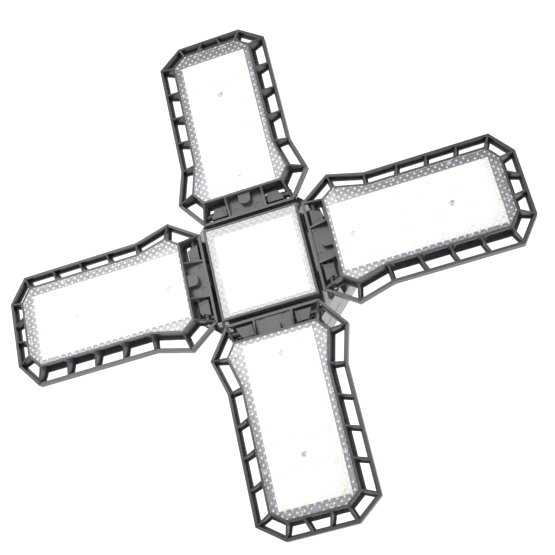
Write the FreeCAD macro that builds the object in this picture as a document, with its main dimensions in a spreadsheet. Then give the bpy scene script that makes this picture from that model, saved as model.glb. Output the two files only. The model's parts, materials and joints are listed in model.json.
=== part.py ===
import FreeCAD, Part
import math
import os
import re
import Sketcher

# A ceiling lamp with a square head and four folding wings, screw base up, light down.
# The origin is the tip of the base's contact. +Z points up, into the lampholder.
# Wings are built flat in their own frame: X outwards from the hinge axis, Y along the pin,
# Z up, with the origin on the hinge axis.

SIZES = {
    # square head in the middle
    "head_half": 36.2,
    "bezel_width": 1.7,
    "bezel_depth": 3.2,
    "head_wall_half": 34.3,
    "head_wall": 1.8,
    "head_depth": 12.0,
    "head_lens_thick": 1.7,
    "head_plate_thick": 3.0,
    "head_plate_drop": 2.7,
    "head_board_half": 30.0,
    "head_post_radius": 3.4,
    "head_post_out": 27.8,
    # eight-sided housing behind the head
    "facet_out": 58.2,
    "flat_out": 63.0,
    "housing_depth": 35.0,
    "housing_wall": 2.4,
    "face_thick": 3.0,
    "tower_half": 38.5,
    "recess_half": 32.0,
    "recess_depth": 18.0,
    "groove_drop": 20.0,
    "groove_width": 1.0,
    "groove_depth": 0.8,
    "cover_boss_radius": 3.8,
    "cover_boss_out": 36.0,
    # cover, neck and screw base
    "cover_height": 24.0,
    "cover_thick": 3.0,
    "neck_foot_radius": 31.0,
    "neck_top_radius": 16.5,
    "neck_wall": 2.2,
    "spigot_height": 6.0,
    "base_height": 26.0,
    "shell_height": 20.6,
    "shell_radius": 12.4,
    "shell_wall": 0.5,
    "thread_height": 0.6,
    "thread_half_width": 1.2,
    "thread_pitch": 3.63,
    "insulator_rise": 3.8,
    "insulator_radius": 8.0,
    "contact_radius": 4.7,
    "contact_height": 1.6,
    "contact_stem": 2.0,
    # hinge
    "axis_out": 47.0,
    "axis_rise": 5.5,
    "pin_radius": 1.5,
    "pin_play": 0.05,
    "knuckle_radius": 2.6,
    "nose_back": 3.6,
    "nose_out": 4.2,
    "nose_drop": 3.2,
    "nose_rise": 2.0,
    "notch_back": 4.6,
    "notch_rise": 2.6,
    "inner_knuckle_start": 12.8,
    "washer_thick": 1.0,
    "washer_radius": 2.4,
    "ear_inner": 16.0,
    "ear_outer": 28.2,
    "ear_tip_inner": 19.5,
    "ear_tip_outer": 24.0,
    "ear_foot_inner": 15.4,
    "ear_foot_outer": 31.0,
    "ear_foot_height": 8.5,
    "ear_bury": 1.4,
    "hinge_rib_out": 14.0,
    # outline of a wing's rim
    "hinge_back": 7.6,
    "hinge_half": 34.5,
    "flare_out": 15.0,
    "flare_half": 50.8,
    "waist_out": 41.8,
    "side_half": 43.4,
    "shoulder_out": 133.7,
    "end_out": 147.5,
    "end_half": 25.1,
    # outline of a wing's lens well
    "well_back": 7.8,
    "well_back_half": 30.3,
    "well_flare_out": 17.9,
    "well_flare_half": 37.5,
    "well_waist_out": 40.8,
    "well_half": 31.7,
    "well_shoulder_out": 128.2,
    "well_end_out": 136.2,
    "well_end_half": 20.9,
    # sections of a wing
    "rim_drop": 4.5,
    "rim_rise": 1.5,
    "rim_wall": 2.0,
    "well_drop": 10.2,
    "well_wall": 1.5,
    "rib_thick": 1.4,
    "rib_lean": 4.0,
    "end_rib_in": 9.5,
    "end_rib_out": 5.5,
    "ledge_thick": 1.2,
    "rim_ledge": 1.6,
    "well_ledge": 2.2,
    "rib_ledge": 1.3,
    "lip_width": 2.2,
    "bar_height": 2.0,
    "relief_back": 3.5,
    "bay_plate_drop": 3.3,
    "bay_plate_thick": 1.4,
    "mark_radius": 2.3,
    "mark_depth": 0.4,
    "mark_back": 3.1,
    "mark_out": 8.5,
    "lug_half": 4.5,
    "lug_front": -0.4,
    "lug_drop": 7.8,
    "lug_round": 3.4,
    "vent_length": 16.5,
    "vent_low": 8.2,
    # inside a wing
    "fit_gap": 0.15,
    "tray_wall": 1.2,
    "tray_top_drop": 8.4,
    "tray_floor_drop": 3.9,
    "tray_floor_thick": 2.0,
    "fin_thick": 1.2,
    "fin_pitch": 6.0,
    "fin_height": 2.8,
    "fin_start": 20.0,
    "fin_end": 126.0,
    "board_thick": 1.6,
    "board_half": 25.5,
    "board_back": 11.0,
    "board_end": 128.0,
    "chip_length": 3.5,
    "chip_width": 2.8,
    "chip_height": 0.8,
    "chip_row_pitch": 21.5,
    "chip_column_pitch": 13.0,
    "first_chip_row": 18.5,
    "resistor_length": 2.0,
    "resistor_width": 1.25,
    "resistor_height": 0.6,
    "resistor_row": 15.6,
    "resistor_pitch": 9.2,
    "near_fixing_out": 23.0,
    "far_fixing_out": 95.2,
    "screw_radius": 1.25,
    "screw_head_radius": 2.1,
    "screw_head_height": 1.5,
    "screw_length": 3.4,
    "slot_width": 0.8,
    "slot_depth": 0.9,
    # driver inside the housing
    "driver_half_x": 31.0,
    "driver_half_y": 24.0,
    "driver_lift": 6.0,
    "driver_post_radius": 3.0,
    "driver_post_x": 27.0,
    "driver_post_y": 20.0,
    "coil_half": 9.0,
    "coil_height": 14.0,
    "core_half_x": 11.5,
    "core_half_y": 6.0,
    "core_height": 17.0,
    "tall_can_radius": 5.0,
    "tall_can_height": 18.0,
    "low_can_radius": 4.0,
    "low_can_height": 12.0,
    "choke_radius": 6.0,
    "choke_height": 9.0,
}
CHIP_ROWS = 6
CHIP_COLUMNS = 4
HEAD_CHIPS = 4
FIN_PAIRS = 4
SIDE_BAYS = 4
RESISTORS = (-1.5, -0.5, 0.5, 1.5)
THREAD_TURNS = 5
WINGS = {"right": 0, "rear": 90, "left": 180, "front": 270}

# heights above the origin, worked out from the sizes
PLACES = {
    "housing_top": "(0 - base_height - cover_height)",
    "housing_face": "(0 - base_height - cover_height - housing_depth)",
    "lens_plane": "(0 - base_height - cover_height - housing_depth - head_depth)",
    "axis_height": "(0 - base_height - cover_height - housing_depth - head_depth + axis_rise)",
}

doc = FreeCAD.newDocument("folding_lamp")
sheet = doc.addObject("Spreadsheet::Sheet", "Sizes")
for row, (word, value) in enumerate(SIZES.items(), start=1):
    sheet.set(f"A{row}", word)
    sheet.set(f"B{row}", str(value))
    sheet.setAlias(f"B{row}", word)
doc.recompute()


def formula(text):
    """Turn words into references to the sheet's cells."""
    for place, meaning in PLACES.items():
        text = re.sub(rf"\b{place}\b", meaning, text)
    return re.sub(r"[a-z_]+", lambda m: f"Sizes.{m.group()}" if m.group() in SIZES else m.group(), text)


def bind(item, **fields):
    """Bind properties to formulas; a double underscore stands for a dot."""
    for field, text in fields.items():
        item.setExpression(field.replace("__", "."), formula(text))


def draw(sketch, corners):
    """Draw a closed outline whose corners are pairs of formulas."""
    count = len(corners)
    start = len(sketch.Geometry)
    spokes = [2 * math.pi * k / count for k in range(count)]
    points = [FreeCAD.Vector(math.cos(a), math.sin(a), 0) for a in spokes]
    for k in range(count):
        sketch.addGeometry(Part.LineSegment(points[k], points[(k + 1) % count]), False)
    for k in range(count):
        sketch.addConstraint(Sketcher.Constraint("Coincident", start + k, 2, start + (k + 1) % count, 1))
    for k, (across, along) in enumerate(corners):
        for kind, text, place in (("DistanceX", across, points[k].x), ("DistanceY", along, points[k].y)):
            index = sketch.addConstraint(Sketcher.Constraint(kind, -1, 1, start + k, 1, place))
            sketch.setExpression(f"Constraints[{index}]", formula(text))


def outline(name, corners):
    """A flat outline of its own, in the XY plane."""
    sketch = doc.addObject("Sketcher::SketchObject", name)
    draw(sketch, corners)
    return sketch


def mirrored(points):
    """Close a half outline, given from the +Y side's hinge end, with its mirror image."""
    return points + [(x, f"0 - ({y})") for x, y in reversed(points)]


def inset(name, base, amount):
    """The outline drawn inwards, or outwards where the amount is negative."""
    item = doc.addObject("Part::Offset2D", name)
    item.Source = base
    item.Join = 2
    bind(item, Value=f"0 - ({amount})")
    return item


def prism(name, base, low, high):
    """The outline raised from one height to another."""
    item = doc.addObject("Part::Extrusion", name)
    item.Base = base
    item.DirMode = "Custom"
    item.Dir = FreeCAD.Vector(0, 0, 1)
    item.Solid = True
    bind(item, LengthFwd=f"({high}) - ({low})", Placement__Base__z=low)
    return item


def cut(name, base, tool):
    item = doc.addObject("Part::Cut", name)
    item.Base = base
    item.Tool = tool
    return item


def common(name, base, tool):
    item = doc.addObject("Part::Common", name)
    item.Base = base
    item.Tool = tool
    return item


def fuse(name, pieces, refine=True):
    item = doc.addObject("Part::MultiFuse", name)
    item.Shapes = pieces
    item.Refine = refine
    return item


def gather(name, pieces):
    """Separate solids that share one node."""
    item = doc.addObject("Part::Compound", name)
    item.Links = pieces
    return item


def block(name, x, y, z):
    """A box given by its low and high formulas along each axis."""
    item = doc.addObject("Part::Box", name)
    bind(item, Length=f"({x[1]}) - ({x[0]})", Width=f"({y[1]}) - ({y[0]})", Height=f"({z[1]}) - ({z[0]})")
    bind(item, Placement__Base__x=x[0], Placement__Base__y=y[0], Placement__Base__z=z[0])
    return item


def rod(name, radius, low, high, x="0", y="0", lying=False):
    """A round bar: upright, or lying along Y with low and high as its ends."""
    item = doc.addObject("Part::Cylinder", name)
    bind(item, Radius=radius, Height=f"({high}) - ({low})")
    if lying:
        item.Placement = FreeCAD.Placement(FreeCAD.Vector(), FreeCAD.Rotation(FreeCAD.Vector(1, 0, 0), -90))
        bind(item, Placement__Base__x=x, Placement__Base__y=low, Placement__Base__z=y)
    else:
        bind(item, Placement__Base__x=x, Placement__Base__y=y, Placement__Base__z=low)
    return item


def web(name, start, end, low_start, low_end, high, thick="rib_thick"):
    """A straight rib between two points of the plan; its lower edge slopes between two heights.

    The rib starts inside the wall it leaves and stops inside the wall it meets.
    """
    item = doc.addObject("Part::Wedge", name)
    run = f"(({end[0]}) - ({start[0]}))"
    side = f"(({end[1]}) - ({start[1]}))"
    reach = f"sqrt({run} * {run} + {side} * {side})"
    half = f"({thick}) / 2"
    bind(item, Xmin=f"0 - {half}", Xmax=half, X2min=f"0 - {half}", X2max=half)
    bind(item, Ymin="0 - well_wall / 2", Ymax=f"{reach} - rim_wall / 2")
    bind(item, Zmin=low_start, Z2min=low_end, Zmax=high, Z2max=high)
    bind(item, Placement__Base__x=start[0], Placement__Base__y=start[1])
    bind(item, Placement__Rotation__Angle=f"atan2({side}; {run}) - 90 deg")
    return item


def side_prism(name, base, low, high):
    """An outline drawn in X and Z, raised along Y from low to high."""
    item = doc.addObject("Part::Extrusion", name)
    item.Base = base
    item.DirMode = "Custom"
    item.Dir = FreeCAD.Vector(0, 0, 1)
    item.Solid = True
    item.Placement = FreeCAD.Placement(FreeCAD.Vector(), FreeCAD.Rotation(FreeCAD.Vector(1, 0, 0), 90))
    bind(item, LengthFwd=f"({high}) - ({low})", Placement__Base__y=high)
    return item


def ring(name, outer, inner, low, high):
    """A closed band between two outlines."""
    return cut(name, prism(name + "_outside", outer, low, high), prism(name + "_inside", inner, low, high))


# ---- the outlines of a wing -------------------------------------------------------------
rim_line = outline("rim_line", mirrored([
    ("0 - hinge_back", "hinge_half"),
    ("flare_out", "flare_half"),
    ("waist_out", "side_half"),
    ("shoulder_out", "side_half"),
    ("end_out", "end_half"),
]))
well_line = outline("well_line", mirrored([
    ("well_back", "well_back_half"),
    ("well_flare_out", "well_flare_half"),
    ("well_waist_out", "well_half"),
    ("well_shoulder_out", "well_half"),
    ("well_end_out", "well_end_half"),
]))
rim_inner = inset("rim_inner", rim_line, "rim_wall")
rim_shelf_line = inset("rim_shelf_line", rim_line, "rim_wall + rim_ledge")
well_inner = inset("well_inner", well_line, "well_wall")
lip_line = inset("lip_line", well_line, "well_wall + lip_width")
well_shelf_line = inset("well_shelf_line", well_line, "0 - well_ledge")
tray_line = inset("tray_line", well_line, "well_wall + fit_gap")
tray_inner = inset("tray_inner", well_line, "well_wall + fit_gap + tray_wall")

# ---- wing frame --------------------------------------------------------------------------
LEDGE_LOW = "rim_rise - ledge_thick"
frame_bones = [
    ring("rim", rim_line, rim_inner, "0 - rim_drop", "rim_rise"),
    ring("rim_shelf", rim_inner, rim_shelf_line, LEDGE_LOW, "rim_rise"),
    ring("well", well_line, well_inner, "0 - well_drop", "rim_rise"),
    ring("well_shelf", well_shelf_line, well_line, LEDGE_LOW, "rim_rise"),
    ring("well_lip", well_inner, lip_line, LEDGE_LOW, "rim_rise"),
]

BAY = "(well_shoulder_out - well_waist_out) / 4"
rib_ends = {
    "hinge_corner": (("well_back", "well_back_half"), ("0 - hinge_back", "hinge_half")),
    "flare": (("well_flare_out", "well_flare_half"), ("flare_out", "flare_half")),
    "waist": (("well_waist_out", "well_half"), ("waist_out", "side_half")),
    "shoulder": (("well_shoulder_out", "well_half"), ("shoulder_out", "side_half")),
    "end_corner": (("well_end_out", "well_end_half"), ("end_out", "end_half")),
    "end": (("well_end_out", "end_rib_in"), ("end_out", "end_rib_out")),
}
for bay in range(1, SIDE_BAYS):
    inner_end = f"well_waist_out + {bay} * {BAY}"
    rib_ends[f"side_{bay}"] = ((inner_end, "well_half"), (f"{inner_end} + rib_lean", "side_half"))

for rib, (start, end) in rib_ends.items():
    for side, sign in (("plus", ""), ("minus", "0 - ")):
        inner = (start[0], f"{sign}{start[1]}")
        outer = (end[0], f"{sign}{end[1]}")
        name = f"rib_{rib}_{side}"
        frame_bones.append(web(name, inner, outer, "0 - well_drop", "0 - rim_drop", "rim_rise"))
        broad = "rib_thick + 2 * rib_ledge"
        frame_bones.append(web(name + "_foot", inner, outer, LEDGE_LOW, LEDGE_LOW, "rim_rise", broad))

for side, sign in (("plus", ""), ("minus", "0 - ")):
    inner = ("well_back", f"{sign}hinge_rib_out")
    outer = ("0 - hinge_back", f"{sign}hinge_rib_out")
    frame_bones.append(web(f"rib_hinge_{side}", inner, outer, "0 - well_drop", "0 - rim_drop", "rim_rise"))

frame_body = fuse("frame_bones", frame_bones)

reliefs = [block(
    "hinge_relief",
    ("0 - hinge_back - rim_wall", "0 - relief_back"),
    ("0 - flare_half", "flare_half"),
    ("bar_height - rim_drop", "rim_rise + ledge_thick"),
)]
for bay in range(1, SIDE_BAYS + 1):
    vent_end = f"well_waist_out + {bay} * {BAY} - rib_thick"
    reliefs.append(block(
        f"vent_{bay}",
        (f"{vent_end} - vent_length", vent_end),
        ("0 - well_half - well_ledge / 4", "well_half + well_ledge / 4"),
        ("0 - vent_low", LEDGE_LOW),
    ))
frame_cleared = cut("frame_cleared", frame_body, fuse("frame_reliefs", reliefs))

INNER_FACE = "(ear_inner - washer_thick)"
OUTER_FACE = "(ear_outer + washer_thick)"
PLATE_BACK = "(bay_plate_thick - bay_plate_drop)"
ROUND_STEPS = (0, 30, 60, 90)
lug_line = outline("lug_line", mirrored([("well_back + well_wall / 2", "lug_half")] + [
    (
        f"lug_front + lug_round * (1 - cos({90 - angle} deg))",
        f"lug_half - lug_round * (1 - cos({angle} deg))",
    )
    for angle in ROUND_STEPS
]))
hinge_bones = [
    frame_cleared,
    block(
        "bay_plate",
        ("rim_wall / 2 - hinge_back", "well_back + well_wall / 2"),
        ("0 - hinge_rib_out", "hinge_rib_out"),
        ("0 - bay_plate_drop", PLATE_BACK),
    ),
    prism("lug", lug_line, "0 - lug_drop", PLATE_BACK),
]
hinge_bones += [
    rod("inner_knuckle_plus", "knuckle_radius", "inner_knuckle_start", INNER_FACE, lying=True),
    rod("inner_knuckle_minus", "knuckle_radius", f"0 - {INNER_FACE}", "0 - inner_knuckle_start", lying=True),
    rod("outer_knuckle_plus", "knuckle_radius", OUTER_FACE, "hinge_half", lying=True),
    rod("outer_knuckle_minus", "knuckle_radius", "0 - hinge_half", f"0 - {OUTER_FACE}", lying=True),
]
frame_solid = fuse("frame_solid", hinge_bones, refine=False)

PIN_END = "(hinge_half - pin_play)"
frame_cuts = [
    rod("frame_bore_plus", "pin_radius + pin_play", "hinge_rib_out / 2", "hinge_half", lying=True),
    rod("frame_bore_minus", "pin_radius + pin_play", "0 - hinge_half", "0 - hinge_rib_out / 2", lying=True),
]
for side, sign in (("plus", 1), ("minus", -1)):
    frame_cuts.append(rod(
        f"mark_{side}", "mark_radius", "0 - bay_plate_drop - mark_depth", "mark_depth - bay_plate_drop",
        x="0 - mark_back", y=f"{sign} * mark_out",
    ))
wing_frame = cut("wing_frame", frame_solid, fuse("frame_cuts", frame_cuts))

# ---- wing tray, board, chips, lens and screws ----------------------------------------------
TRAY_BACK = LEDGE_LOW
BOARD_FACE = "(0 - tray_floor_drop - board_thick)"
tray_bones = [
    ring("tray_side", tray_line, tray_inner, "0 - tray_top_drop", TRAY_BACK),
    prism("tray_floor", tray_line, "0 - tray_floor_drop", "tray_floor_thick - tray_floor_drop"),
]
for step in range(-FIN_PAIRS, FIN_PAIRS + 1):
    tray_bones.append(block(
        f"fin_{step + FIN_PAIRS}",
        ("fin_start", "fin_end"),
        (f"{step} * fin_pitch - fin_thick / 2", f"{step} * fin_pitch + fin_thick / 2"),
        ("0 - tray_floor_drop + tray_floor_thick / 2", "tray_floor_thick - tray_floor_drop + fin_height"),
    ))
tray_solid = fuse("tray_solid", tray_bones)
wing_tray = cut("wing_tray", tray_solid, fuse("tray_holes", [
    rod(f"tray_hole_{k}", "screw_radius", "0 - tray_floor_drop - 1", "rim_rise + 1", x=out)
    for k, out in enumerate(("near_fixing_out", "far_fixing_out"))
]))

wing_board = cut(
    "wing_board",
    block("board_blank", ("board_back", "board_end"), ("0 - board_half", "board_half"),
          (BOARD_FACE, "0 - tray_floor_drop")),
    fuse("board_holes", [
        rod(f"board_hole_{k}", "screw_radius + fit_gap", "0 - tray_floor_drop - 2 * board_thick",
            "0 - tray_floor_drop + board_thick", x=out)
        for k, out in enumerate(("near_fixing_out", "far_fixing_out"))
    ]),
)


def chip(name, x, y, face):
    """A light-emitting chip lying on a board's lower face."""
    return block(
        name,
        (f"{x} - chip_length / 2", f"{x} + chip_length / 2"),
        (f"{y} - chip_width / 2", f"{y} + chip_width / 2"),
        (f"{face} - chip_height", face),
    )


wing_chips = gather("wing_chips", [
    chip(
        f"chip_{row}_{column}",
        f"first_chip_row + {row} * chip_row_pitch",
        f"({column} - {(CHIP_COLUMNS - 1) / 2}) * chip_column_pitch",
        BOARD_FACE,
    )
    for row in range(CHIP_ROWS)
    for column in range(CHIP_COLUMNS)
])
wing_resistors = gather("wing_resistors", [
    block(
        f"resistor_{k}",
        ("resistor_row - resistor_width / 2", "resistor_row + resistor_width / 2"),
        (f"{place} * resistor_pitch - resistor_length / 2", f"{place} * resistor_pitch + resistor_length / 2"),
        (f"{BOARD_FACE} - resistor_height", BOARD_FACE),
    )
    for k, place in enumerate(RESISTORS)
])
wing_lens = prism("wing_lens", tray_line, "0 - well_drop", "0 - tray_top_drop")


def screw(name, x, y, face, down=True):
    """A slotted screw whose head bears on a face; it points up into the lamp, or down out of it."""
    if down:
        head = rod(name + "_head", "screw_head_radius", f"{face} - screw_head_height", face, x=x, y=y)
        shank = rod(name + "_shank", "screw_radius", face, f"{face} + screw_length", x=x, y=y)
        slot = (f"{face} - screw_head_height - slot_depth", f"{face} - screw_head_height + slot_depth")
    else:
        head = rod(name + "_head", "screw_head_radius", face, f"{face} + screw_head_height", x=x, y=y)
        shank = rod(name + "_shank", "screw_radius", f"{face} - screw_length", face, x=x, y=y)
        slot = (f"{face} + screw_head_height - slot_depth", f"{face} + screw_head_height + slot_depth")
    body = fuse(name + "_body", [head, shank])
    across = (f"{x} - slot_width / 2", f"{x} + slot_width / 2")
    along = (f"{y} - screw_head_radius", f"{y} + screw_head_radius")
    return cut(name, body, block(name + "_slot", across, along, slot))


wing_screws = gather("wing_screws", [
    screw("near_board_screw", "near_fixing_out", "0", BOARD_FACE),
    screw("far_board_screw", "far_fixing_out", "0", BOARD_FACE),
])
wing_pins = gather("wing_pins", [
    rod("pin_plus", "pin_radius", "inner_knuckle_start", PIN_END, lying=True),
    rod("pin_minus", "pin_radius", f"0 - {PIN_END}", "0 - inner_knuckle_start", lying=True),
])


def washer(name, low, high):
    outside = rod(name + "_disc", "washer_radius", low, high, lying=True)
    hole = rod(name + "_hole", "pin_radius + pin_play", low, high, lying=True)
    return cut(name, outside, hole)


wing_washers = gather("wing_washers", [
    washer("washer_inner_plus", INNER_FACE, "ear_inner"),
    washer("washer_outer_plus", "ear_outer", OUTER_FACE),
    washer("washer_inner_minus", "0 - ear_inner", f"0 - {INNER_FACE}"),
    washer("washer_outer_minus", f"0 - {OUTER_FACE}", "0 - ear_outer"),
])

# ---- hinge ears, which belong to the housing -------------------------------------------------
FOOT_BACK = "(axis_out - tower_half + ear_bury)"
FOOT_LOW = "(head_depth - axis_rise)"
ear_side = outline("ear_side", [
    (f"0 - {FOOT_BACK}", FOOT_LOW),
    ("0 - notch_back", "notch_rise"),
    ("0 - nose_back", "0 - nose_drop"),
    ("nose_out", "0 - nose_drop"),
    ("nose_out", "nose_rise"),
    (f"0 - {FOOT_BACK}", f"{FOOT_LOW} + ear_foot_height"),
])


def ear(name, sign):
    """One hinge ear: an arm with a flat lower face that narrows towards its tip, with a boss each side."""
    low, high = ("ear_foot_inner", "ear_foot_outer")
    boss_low, boss_high = ("ear_inner", "ear_outer")
    if sign < 0:
        low, high = ("0 - ear_foot_outer", "0 - ear_foot_inner")
        boss_low, boss_high = ("0 - ear_outer", "0 - ear_inner")
    arm = side_prism(name + "_arm", ear_side, low, high)
    plan = outline(name + "_plan", [
        (f"0 - {FOOT_BACK}", f"{sign} * ear_foot_inner"),
        ("nose_out + ear_bury", f"{sign} * ear_tip_inner"),
        ("nose_out + ear_bury", f"{sign} * ear_tip_outer"),
        (f"0 - {FOOT_BACK}", f"{sign} * ear_foot_outer"),
    ])
    column = prism(name + "_column", plan, "0 - 2 * nose_drop", f"{FOOT_LOW} + 2 * ear_foot_height")
    shaped = common(name + "_shaped", arm, column)
    boss = rod(name + "_boss", "knuckle_radius", boss_low, boss_high, lying=True)
    bossed = fuse(name + "_bossed", [shaped, boss])
    return cut(name, bossed, rod(name + "_bore", "pin_radius", boss_low, boss_high, lying=True))


ear_pair = gather("ear_pair", [ear("ear_plus", 1), ear("ear_minus", -1)])


def place_at_hinge(item, turn):
    """Turn a wing's piece about the lamp's axis and set it on its hinge axis."""
    spin = FreeCAD.Rotation(FreeCAD.Vector(0, 0, 1), turn)
    item.Placement = FreeCAD.Placement(FreeCAD.Vector(), spin)
    across = round(math.cos(math.radians(turn)))
    along = round(math.sin(math.radians(turn)))
    bind(item, Placement__Base__x=f"{across} * axis_out", Placement__Base__y=f"{along} * axis_out")
    bind(item, Placement__Base__z="axis_height")
    return item


# ---- housing -----------------------------------------------------------------------------------
CORNER = "(facet_out * sqrt(2) - flat_out)"
eight = outline("eight_sided_line", [
    ("flat_out", CORNER),
    (CORNER, "flat_out"),
    (f"0 - {CORNER}", "flat_out"),
    ("0 - flat_out", CORNER),
    ("0 - flat_out", f"0 - {CORNER}"),
    (f"0 - {CORNER}", "0 - flat_out"),
    (CORNER, "0 - flat_out"),
    ("flat_out", f"0 - {CORNER}"),
])
eight_inner = inset("eight_inner", eight, "housing_wall")
eight_groove = inset("eight_groove", eight, "groove_depth")


def four_ways(name, span, depth, low, high):
    """Four blocks, each reaching out from the middle square to one flat side."""
    sides = []
    for word, turn in WINGS.items():
        piece = doc.addObject("Part::Box", f"{name}_{word}")
        bind(piece, Length=f"flat_out - ({depth}) + 1", Width=f"2 * ({span})", Height=f"({high}) - ({low})")
        piece.Placement = FreeCAD.Placement(FreeCAD.Vector(), FreeCAD.Rotation(FreeCAD.Vector(0, 0, 1), turn))
        across = round(math.cos(math.radians(turn)))
        along = round(math.sin(math.radians(turn)))
        bind(piece, Placement__Base__x=f"{across} * ({depth}) + {along} * ({span})")
        bind(piece, Placement__Base__y=f"{along} * ({depth}) - {across} * ({span})")
        bind(piece, Placement__Base__z=low)
        sides.append(piece)
    return sides


def at_corners(make, out_x, out_y):
    """Make one piece at each of four corners."""
    signs = (("a", 1, 1), ("b", -1, 1), ("c", -1, -1), ("d", 1, -1))
    return [make(word, f"{sx} * {out_x}", f"{sy} * {out_y}") for word, sx, sy in signs]


INSIDE = "(housing_face + face_thick)"
RECESS_TOP = "(housing_face + recess_depth)"
cavity = cut(
    "cavity",
    prism("cavity_blank", eight_inner, INSIDE, "housing_top"),
    fuse("recess_cheeks", four_ways(
        "recess_cheek", "recess_half + housing_wall", "tower_half - housing_wall",
        "housing_face", f"{RECESS_TOP} + housing_wall",
    )),
)
GROOVE_LOW = "(housing_face + groove_drop)"
housing_blank = cut("housing_blank", prism("housing_outside", eight, "housing_face", "housing_top"), fuse(
    "housing_hollows",
    [
        cavity,
        ring("groove", eight, eight_groove, GROOVE_LOW, f"{GROOVE_LOW} + groove_width"),
    ] + four_ways("recess", "recess_half", "tower_half", "housing_face", RECESS_TOP),
))
POST_TOP = "(housing_face + face_thick + driver_lift)"
housing_bones = [housing_blank]
housing_bones += at_corners(
    lambda word, x, y: rod(f"cover_boss_{word}", "cover_boss_radius", "housing_face + face_thick / 2",
                           "housing_top", x=x, y=y),
    "cover_boss_out", "cover_boss_out",
)
housing_bones += at_corners(
    lambda word, x, y: rod(f"driver_post_{word}", "driver_post_radius", "housing_face + face_thick / 2",
                           POST_TOP, x=x, y=y),
    "driver_post_x", "driver_post_y",
)
for word, turn in WINGS.items():
    pair = doc.addObject("Part::Compound", f"ears_{word}")
    pair.Links = [ear_pair]
    housing_bones.append(place_at_hinge(pair, turn))
PLATE_HIGH = "(housing_face - head_plate_drop)"
housing_bones.append(rod("centre_boss", "head_post_radius", PLATE_HIGH, "housing_face + face_thick / 2"))
housing_whole = fuse("housing_whole", housing_bones)
housing_holes = at_corners(
    lambda word, x, y: rod(f"cover_bore_{word}", "screw_radius", "housing_top - 2 * screw_length",
                           "housing_top + 1", x=x, y=y),
    "cover_boss_out", "cover_boss_out",
)
housing_holes += at_corners(
    lambda word, x, y: rod(f"driver_bore_{word}", "screw_radius", f"{POST_TOP} - driver_lift",
                           f"{POST_TOP} + 1", x=x, y=y),
    "driver_post_x", "driver_post_y",
)
housing_holes += at_corners(
    lambda word, x, y: rod(f"head_bore_{word}", "screw_radius + fit_gap", "housing_face - 1",
                           f"{INSIDE} + 1", x=x, y=y),
    "head_post_out", "head_post_out",
)
housing_holes.append(rod("centre_bore", "screw_radius", f"{PLATE_HIGH} - 1", "housing_face + 1"))
housing = cut("housing", housing_whole, fuse("housing_holes", housing_holes))

# ---- square head ---------------------------------------------------------------------------------
BEZEL_TOP = "(lens_plane + bezel_depth)"
SEAT = "(lens_plane + head_lens_thick)"
SEAT_HALF = "(head_half - bezel_width)"


def square(name, half, low, high):
    return block(name, (f"0 - ({half})", half), (f"0 - ({half})", half), (low, high))


head_blank = cut(
    "head_blank",
    fuse("head_outside", [
        square("head_flange", "head_half", "lens_plane", BEZEL_TOP),
        square("head_wall_blank", "head_wall_half", "lens_plane", "housing_face"),
    ]),
    fuse("head_hollow", [
        square("head_lens_seat", SEAT_HALF, "lens_plane - 1", SEAT),
        square("head_inside", "head_wall_half - head_wall", "lens_plane - 1", "housing_face + 1"),
    ]),
)
head_bones = [head_blank]
head_bones += at_corners(
    lambda word, x, y: rod(f"head_post_{word}", "head_post_radius", PLATE_HIGH, "housing_face", x=x, y=y),
    "head_post_out", "head_post_out",
)
head_bones += at_corners(
    lambda word, x, y: block(
        f"head_post_web_{word}",
        (f"{x} - head_wall", f"{x} + head_wall"),
        (f"{y} - head_wall", f"{y} + head_wall"),
        (PLATE_HIGH, "housing_face"),
    ),
    "(head_wall_half - 1.5 * head_wall)", "(head_wall_half - 1.5 * head_wall)",
)
head_frame = cut("head_frame", fuse("head_whole", head_bones), fuse("head_bores", at_corners(
    lambda word, x, y: rod(f"head_thread_{word}", "screw_radius", f"{PLATE_HIGH} - 1",
                           "housing_face + 1", x=x, y=y),
    "head_post_out", "head_post_out",
)))
PLATE_LOW = f"({PLATE_HIGH} - head_plate_thick)"
HEAD_BOARD_FACE = f"({PLATE_LOW} - board_thick)"
head_plate = cut(
    "head_plate",
    square("head_plate_blank", "head_wall_half - head_wall - fit_gap", PLATE_LOW, PLATE_HIGH),
    rod("head_plate_hole", "screw_radius + fit_gap", f"{PLATE_LOW} - 1", f"{PLATE_HIGH} + 1"),
)
head_board = cut(
    "head_board",
    square("head_board_blank", "head_board_half", HEAD_BOARD_FACE, PLATE_LOW),
    rod("head_board_hole", "screw_radius + fit_gap", f"{HEAD_BOARD_FACE} - 1", f"{PLATE_LOW} + 1"),
)
head_chips = gather("head_chips", [
    chip(
        f"head_chip_{row}_{column}",
        f"({row} - {(HEAD_CHIPS - 1) / 2}) * chip_column_pitch",
        f"({column} - {(HEAD_CHIPS - 1) / 2}) * chip_column_pitch",
        HEAD_BOARD_FACE,
    )
    for row in range(HEAD_CHIPS)
    for column in range(HEAD_CHIPS)
])
head_lens = square("head_lens", f"{SEAT_HALF} - fit_gap", "lens_plane", SEAT)


def long_screw(name, face, tip):
    """A screw on the lamp's axis whose head bears on a face and whose shank ends at a tip."""
    head = rod(name + "_head", "screw_head_radius", f"{face} - screw_head_height", face)
    shank = rod(name + "_shank", "screw_radius", face, tip)
    slot = (f"{face} - screw_head_height - slot_depth", f"{face} - screw_head_height + slot_depth")
    across = ("0 - slot_width / 2", "slot_width / 2")
    along = ("0 - screw_head_radius", "screw_head_radius")
    return cut(name, fuse(name + "_body", [head, shank]), block(name + "_slot", across, along, slot))


head_screw = long_screw("head_screw", HEAD_BOARD_FACE, "housing_face + pin_play * 2")
frame_screws = gather("frame_screws", at_corners(
    lambda word, x, y: screw(f"frame_screw_{word}", x, y, INSIDE, down=False),
    "head_post_out", "head_post_out",
))

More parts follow.
